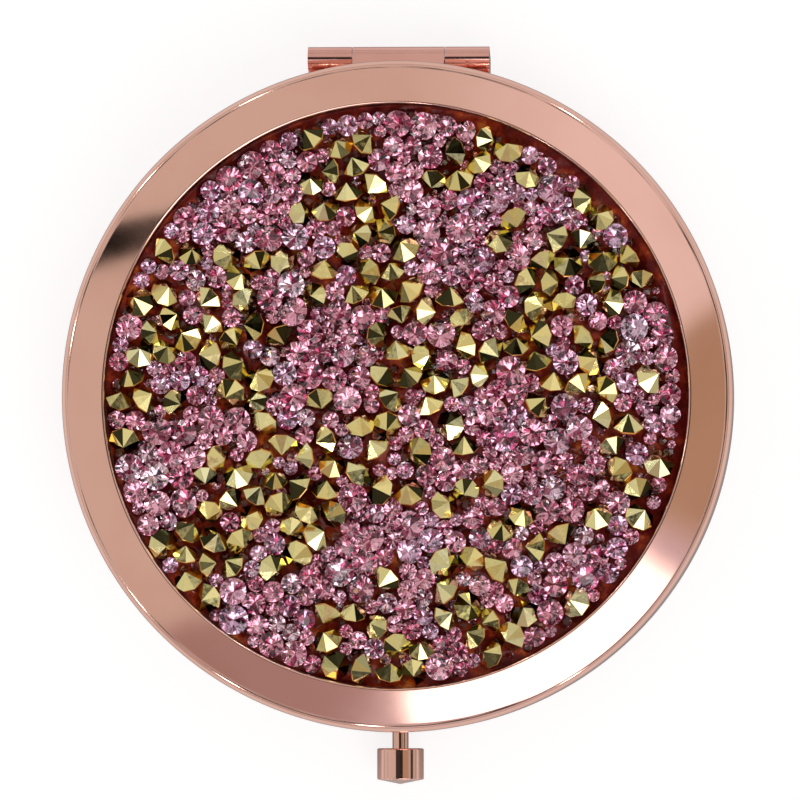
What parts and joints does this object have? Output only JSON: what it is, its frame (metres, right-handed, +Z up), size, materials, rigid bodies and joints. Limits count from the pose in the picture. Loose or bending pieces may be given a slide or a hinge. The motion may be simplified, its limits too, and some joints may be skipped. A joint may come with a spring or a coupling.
{
  "type": "powder compact",
  "caption": "Round hinged powder compact with a mirror, puff and pan inside, a push-button latch, and a lid inlaid with gold and pink crystals.",
  "frame": {"origin": "centre of the case's flat underside, which it rests on", "axes": "+Z up through the lid, +Y towards the hinge at the back, -Y towards the push button at the front, +X to the right seen from above with the hinge at the top"},
  "size_m": [0.07, 0.0772, 0.0143],
  "materials": {
    "rose_gold": "polished",
    "steel": "satin",
    "spring_steel": "polished",
    "pan": "satin",
    "powder": "matte",
    "pad_adhesive": "matte",
    "velour": "matte",
    "satin": "satin",
    "ribbon": "satin",
    "backing": "matte",
    "resin": "gloss",
    "gold_crystal": "polished",
    "pink_crystal": "polished",
    "mirror_glass": "polished"
  },
  "bodies": {
    "base": {"base_shell": "rose_gold", "base_hinge_bracket": "rose_gold", "hinge_pin": "steel", "well_frame": "rose_gold", "pan_adhesive": "pad_adhesive", "powder_pan": "pan", "powder_cake": "powder", "puff_pad": "velour", "puff_satin_back": "satin", "puff_ribbon": "ribbon", "latch_bracket": "steel", "button_bush": "steel", "button_spring": "spring_steel"},
    "lid": {"lid_shell": "rose_gold", "lid_hinge_leaf": "rose_gold", "stone_backing": "backing", "resin_bed": "resin", "gold_stones": "gold_crystal", "pink_stones": "pink_crystal", "mirror": "mirror_glass", "mirror_adhesive": "pad_adhesive", "mirror_bezel": "rose_gold", "striker": "steel"},
    "button": {"button_cap": "rose_gold", "button_stem": "rose_gold", "latch_hook": "steel"}
  },
  "joints": [
    {"name": "lid_hinge", "type": "hinge", "parent": "base", "child": "lid", "pos_m": [0, 0.0355, 0.00728], "axis": [-1, 0, 0], "range_deg": [0, 125]},
    {"name": "button_slide", "type": "slide", "parent": "base", "child": "button", "axis": [0, 1, 0], "range_m": [0, 0.0009], "stiffness_N_per_m": 600, "springref_m": -0.0015, "deforming": ["button_spring"]}
  ]
}
